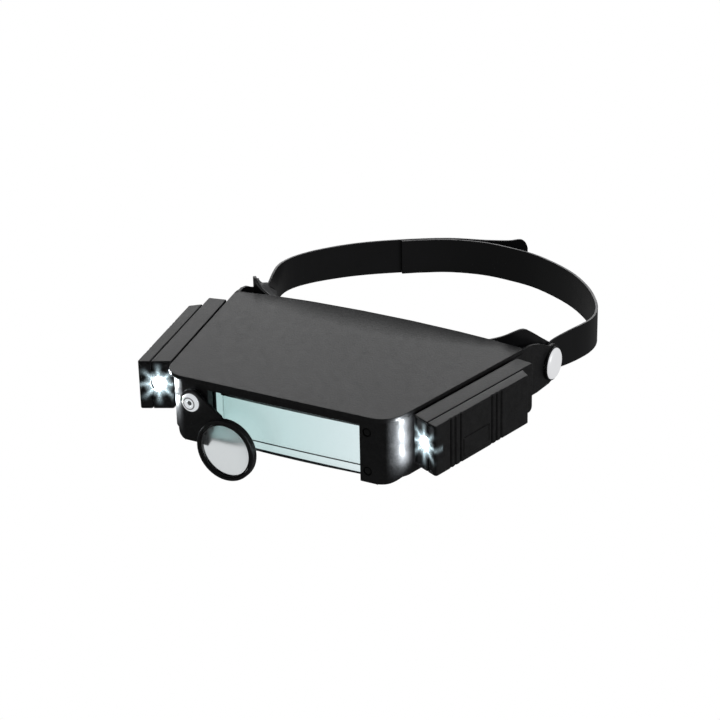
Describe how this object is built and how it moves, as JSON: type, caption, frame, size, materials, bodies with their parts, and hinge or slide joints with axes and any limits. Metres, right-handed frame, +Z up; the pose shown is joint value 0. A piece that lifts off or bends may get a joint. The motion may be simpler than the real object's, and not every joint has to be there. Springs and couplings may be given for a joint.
{
  "type": "head visor magnifier",
  "caption": "Black headband magnifier: tilting visor with a lens plate, a flip-down second lens, a round loupe on a swinging arm, and a battery light on each side.",
  "frame": {"origin": "midway between the two side pivots, on the visor's tilt axis", "axes": "+X to the wearer's left, -Y the way the visor looks, +Z up with the visor's top panel level"},
  "size_m": [0.2142, 0.2838, 0.065],
  "materials": {
    "black_plastic": "fine grained moulded plastic",
    "black_screw": "black oxide",
    "clear_lens": "polished clear acrylic",
    "strap_plastic": "smooth, half gloss",
    "pad_vinyl": "soft grey vinyl over foam",
    "chrome": "bright chrome",
    "reflector_chrome": "bright metallised plastic",
    "steel": "plain zinc plated",
    "silver_cap": "satin silver",
    "led_epoxy": "clear epoxy, lit white",
    "circuit_board": "green solder mask",
    "battery_wrap": "printed film, half gloss"
  },
  "bodies": {
    "headband": {"forehead_band": "strap_plastic", "forehead_pad": "pad_vinyl", "strap_left": "strap_plastic", "strap_right": "strap_plastic", "pivot_screw_left": "steel", "pivot_screw_right": "steel", "pivot_nut_left": "steel", "pivot_nut_right": "steel"},
    "visor": {"visor_shell": "black_plastic", "main_lens": "clear_lens", "lens_retainer_left": "black_plastic", "lens_retainer_right": "black_plastic", "lens_screw_left_upper": "black_screw", "lens_screw_left_lower": "black_screw", "lens_screw_right_upper": "black_screw", "lens_screw_right_lower": "black_screw", "pivot_rim_left": "black_plastic", "pivot_rim_right": "black_plastic", "pivot_cap_left": "silver_cap", "pivot_cap_right": "silver_cap", "loupe_screw": "chrome", "loupe_nut": "steel", "loupe_washer": "steel"},
    "flip_plate": {"flip_bar": "black_plastic", "flip_lens": "clear_lens"},
    "loupe": {"loupe_frame": "black_plastic", "loupe_lens": "clear_lens", "loupe_retaining_ring": "black_plastic"},
    "light_left": {"light_body_left": "black_plastic", "reflector_left": "reflector_chrome", "led_left": "led_epoxy", "led_board_left": "circuit_board", "battery_left_upper": "battery_wrap", "battery_left_lower": "battery_wrap", "battery_contact_left_front": "steel", "battery_contact_left_rear": "steel"},
    "cover_left": {"battery_cover_left": "black_plastic"},
    "switch_left": {"switch_left": "black_plastic"},
    "light_right": {"light_body_right": "black_plastic", "reflector_right": "reflector_chrome", "led_right": "led_epoxy", "led_board_right": "circuit_board", "battery_right_upper": "battery_wrap", "battery_right_lower": "battery_wrap", "battery_contact_right_front": "steel", "battery_contact_right_rear": "steel"},
    "cover_right": {"battery_cover_right": "black_plastic"},
    "switch_right": {"switch_right": "black_plastic"}
  },
  "joints": [
    {"name": "visor_tilt", "type": "hinge", "parent": "headband", "child": "visor", "pos_m": [0, 0, 0], "axis": [-1, 0, 0], "range_deg": [0, 75]},
    {"name": "flip_plate_hinge", "type": "hinge", "parent": "visor", "child": "flip_plate", "pos_m": [0, -0.1175, 0.0098], "axis": [1, 0, 0], "range_deg": [0, 85]},
    {"name": "loupe_swing", "type": "hinge", "parent": "visor", "child": "loupe", "pos_m": [-0.055, -0.1334, 0.002], "axis": [0, 1, 0], "range_deg": [-40, 50]},
    {"name": "light_left_slide", "type": "slide", "parent": "visor", "child": "light_left", "axis": [0.2028, -0.9792, 0], "range_m": [0, 0.03]},
    {"name": "cover_left_slide", "type": "slide", "parent": "light_left", "child": "cover_left", "axis": [-0.2028, 0.9792, 0], "range_m": [0, 0.016]},
    {"name": "switch_left_slide", "type": "slide", "parent": "light_left", "child": "switch_left", "axis": [-0.2028, 0.9792, 0], "range_m": [0, 0.003]},
    {"name": "light_right_slide", "type": "slide", "parent": "visor", "child": "light_right", "axis": [-0.2028, -0.9792, 0], "range_m": [0, 0.03]},
    {"name": "cover_right_slide", "type": "slide", "parent": "light_right", "child": "cover_right", "axis": [0.2028, 0.9792, 0], "range_m": [0, 0.016]},
    {"name": "switch_right_slide", "type": "slide", "parent": "light_right", "child": "switch_right", "axis": [0.2028, 0.9792, 0], "range_m": [0, 0.003]}
  ]
}
